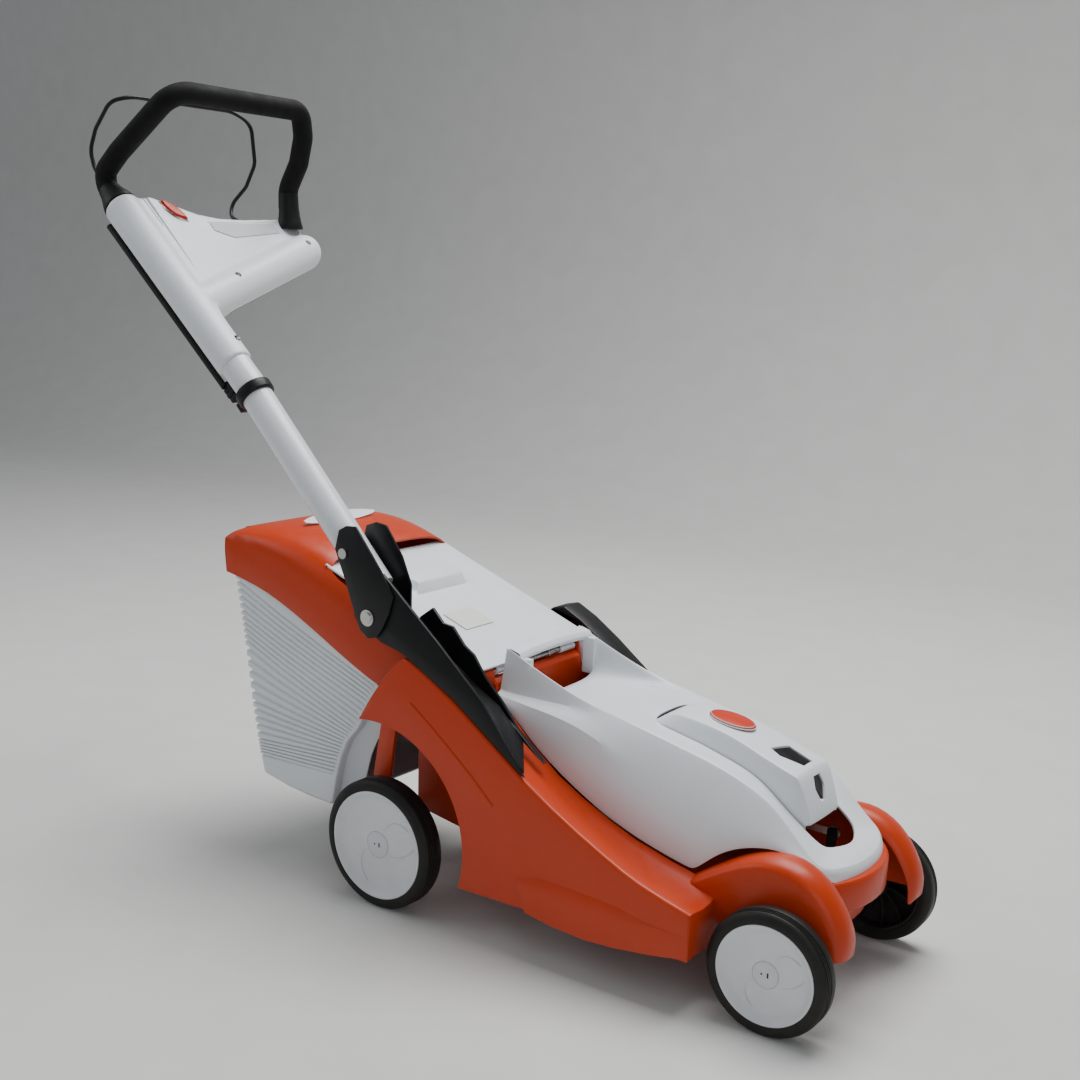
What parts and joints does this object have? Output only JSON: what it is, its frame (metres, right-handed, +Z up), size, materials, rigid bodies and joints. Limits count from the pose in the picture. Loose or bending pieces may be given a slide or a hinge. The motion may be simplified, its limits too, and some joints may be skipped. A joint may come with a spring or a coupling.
{
  "type": "push lawn mower",
  "caption": "Cordless walk-behind lawn mower: ribbed deck on wheels, hinged rear grass box, folding single-tube handlebar with padded loop grip and bail.",
  "frame": {"origin": "on the ground, centred under the overall box of the mower at rest", "axes": "+X forward, +Y to the mower's left, +Z up"},
  "size_m": [1.2691, 0.4064, 1.092],
  "materials": {
    "light_grey_shell": "moulded, semi-gloss light grey",
    "orange_shell": "moulded, semi-gloss orange",
    "black_shell": "moulded black, fine grain",
    "dark_inner": "plain black moulding",
    "wheel_grey": "moulded light grey",
    "tyre_black": "black tread ring",
    "tube_paint": "powder-coated light grey",
    "zinc_steel": "bright zinc-plated",
    "black_steel": "black powder coat",
    "blade_steel": "ground edge, plain steel",
    "motor_metal": "die cast",
    "grip_rubber": "soft black, dull",
    "signal_red": "moulded orange-red"
  },
  "bodies": {
    "chassis": {"deck_housing": "orange_shell", "hood": "light_grey_shell", "battery_tray": "dark_inner", "battery_pack": "dark_inner", "safety_key": "signal_red", "controller_box": "dark_inner", "motor_case": "motor_metal", "shaft_bearings": "zinc_steel", "motor_screws": "zinc_steel", "hood_screws": "zinc_steel", "console_right": "black_shell", "console_left": "black_shell", "pivot_bolt": "zinc_steel", "flap_hinge_pin": "zinc_steel", "flap_springs": "zinc_steel", "height_pivot": "zinc_steel"},
    "front_crank": {"front_axle": "black_steel"},
    "rear_crank": {"rear_axle": "black_steel"},
    "tie_link": {"tie_rod": "zinc_steel"},
    "height_control": {"height_lever": "black_shell"},
    "front_right_wheel": {"front_right_tyre": "tyre_black", "front_right_rim": "wheel_grey", "front_right_hub_cap": "wheel_grey"},
    "front_left_wheel": {"front_left_tyre": "tyre_black", "front_left_rim": "wheel_grey", "front_left_hub_cap": "wheel_grey"},
    "rear_right_wheel": {"rear_right_tyre": "tyre_black", "rear_right_rim": "wheel_grey", "rear_right_hub_cap": "wheel_grey"},
    "rear_left_wheel": {"rear_left_tyre": "tyre_black", "rear_left_rim": "wheel_grey", "rear_left_hub_cap": "wheel_grey"},
    "blade_rotor": {"motor_shaft": "zinc_steel", "motor_rotor": "motor_metal", "blade_fan": "dark_inner", "blade": "blade_steel", "blade_bolt": "zinc_steel"},
    "flap": {"discharge_flap": "light_grey_shell"},
    "bay_lid": {"battery_cover": "light_grey_shell"},
    "catcher": {"catcher_lid": "orange_shell", "catcher_box": "light_grey_shell"},
    "level_flap": {"fill_indicator": "wheel_grey"},
    "handlebar": {"handle_tube": "tube_paint", "handle_foot_outer": "black_steel", "handle_foot_inner": "black_steel", "foot_screw": "zinc_steel", "clamp_ring": "black_steel", "head_housing": "light_grey_shell", "head_cover": "dark_inner", "head_screws": "zinc_steel", "switch_unit": "dark_inner", "cable": "grip_rubber", "cable_clip": "grip_rubber", "cable_plug": "grip_rubber", "grip_tube": "zinc_steel", "grip_foam": "grip_rubber", "grip_boots": "grip_rubber"},
    "bail": {"bail_lever": "black_steel"},
    "start_key": {"start_button": "signal_red"}
  },
  "joints": [
    {"name": "front_height", "type": "hinge", "parent": "chassis", "child": "front_crank", "pos_m": [0.51205, 0, 0.089], "axis": [0, 1, 0], "range_deg": [-18, 18]},
    {"name": "rear_height", "type": "hinge", "parent": "chassis", "child": "rear_crank", "pos_m": [-0.05795, 0, 0.103], "axis": [0, 1, 0], "range_deg": [-18, 18]},
    {"name": "tie_turn", "type": "hinge", "parent": "front_crank", "child": "tie_link", "pos_m": [0.51205, 0.103, 0.155], "axis": [0, 1, 0], "range_deg": [-18, 18]},
    {"name": "lever_turn", "type": "hinge", "parent": "chassis", "child": "height_control", "pos_m": [0.05505, 0.199, 0.25], "axis": [0, 1, 0], "range_deg": [-25.3, 25.3]},
    {"name": "front_right_spin", "type": "hinge", "parent": "front_crank", "child": "front_right_wheel", "pos_m": [0.55705, -0.1615, 0.0774], "axis": [0, 1, 0], "continuous": true},
    {"name": "front_left_spin", "type": "hinge", "parent": "front_crank", "child": "front_left_wheel", "pos_m": [0.55705, 0.1615, 0.0774], "axis": [0, 1, 0], "continuous": true},
    {"name": "rear_right_spin", "type": "hinge", "parent": "rear_crank", "child": "rear_right_wheel", "pos_m": [-0.01295, -0.1849, 0.0914], "axis": [0, 1, 0], "continuous": true},
    {"name": "rear_left_spin", "type": "hinge", "parent": "rear_crank", "child": "rear_left_wheel", "pos_m": [-0.01295, 0.1849, 0.0914], "axis": [0, 1, 0], "continuous": true},
    {"name": "blade_spin", "type": "hinge", "parent": "chassis", "child": "blade_rotor", "pos_m": [0.28505, 0, 0.14], "axis": [0, 0, 1], "continuous": true},
    {"name": "flap_swing", "type": "hinge", "parent": "chassis", "child": "flap", "pos_m": [0.09905, 0, 0.336], "axis": [0, 1, 0], "range_deg": [0, 55], "stiffness_Nm_per_rad": 0.4, "springref_deg": -28.65},
    {"name": "cover_swing", "type": "hinge", "parent": "chassis", "child": "bay_lid", "pos_m": [0.32405, 0, 0.304], "axis": [0, -1, 0], "range_deg": [0, 70]},
    {"name": "catcher_lift", "type": "slide", "parent": "chassis", "child": "catcher", "axis": [-0.9397, 0, 0.342], "range_m": [0, 0.25]},
    {"name": "level_swing", "type": "hinge", "parent": "catcher", "child": "level_flap", "pos_m": [-0.25545, 0, 0.481], "axis": [0, 1, 0], "range_deg": [0, 25]},
    {"name": "handle_fold", "type": "hinge", "parent": "chassis", "child": "handlebar", "pos_m": [-0.03095, -0.168, 0.406], "axis": [0, -1, 0], "range_deg": [-110, 0]},
    {"name": "bail_pull", "type": "hinge", "parent": "handlebar", "child": "bail", "pos_m": [-0.50395, -0.03, 0.897], "axis": [0, 1, 0], "range_deg": [0, 28], "stiffness_Nm_per_rad": 1.5, "springref_deg": -28.65},
    {"name": "button_press", "type": "slide", "parent": "handlebar", "child": "start_key", "axis": [-0.675, 0, -0.7379], "range_m": [0, 0.004], "stiffness_N_per_m": 400, "springref_m": -0.003}
  ],
  "couplings": [
    {"joint": "rear_height", "follows": "front_height", "ratio": 1},
    {"joint": "tie_turn", "follows": "front_height", "ratio": -1},
    {"joint": "lever_turn", "follows": "front_height", "ratio": 1.4}
  ]
}
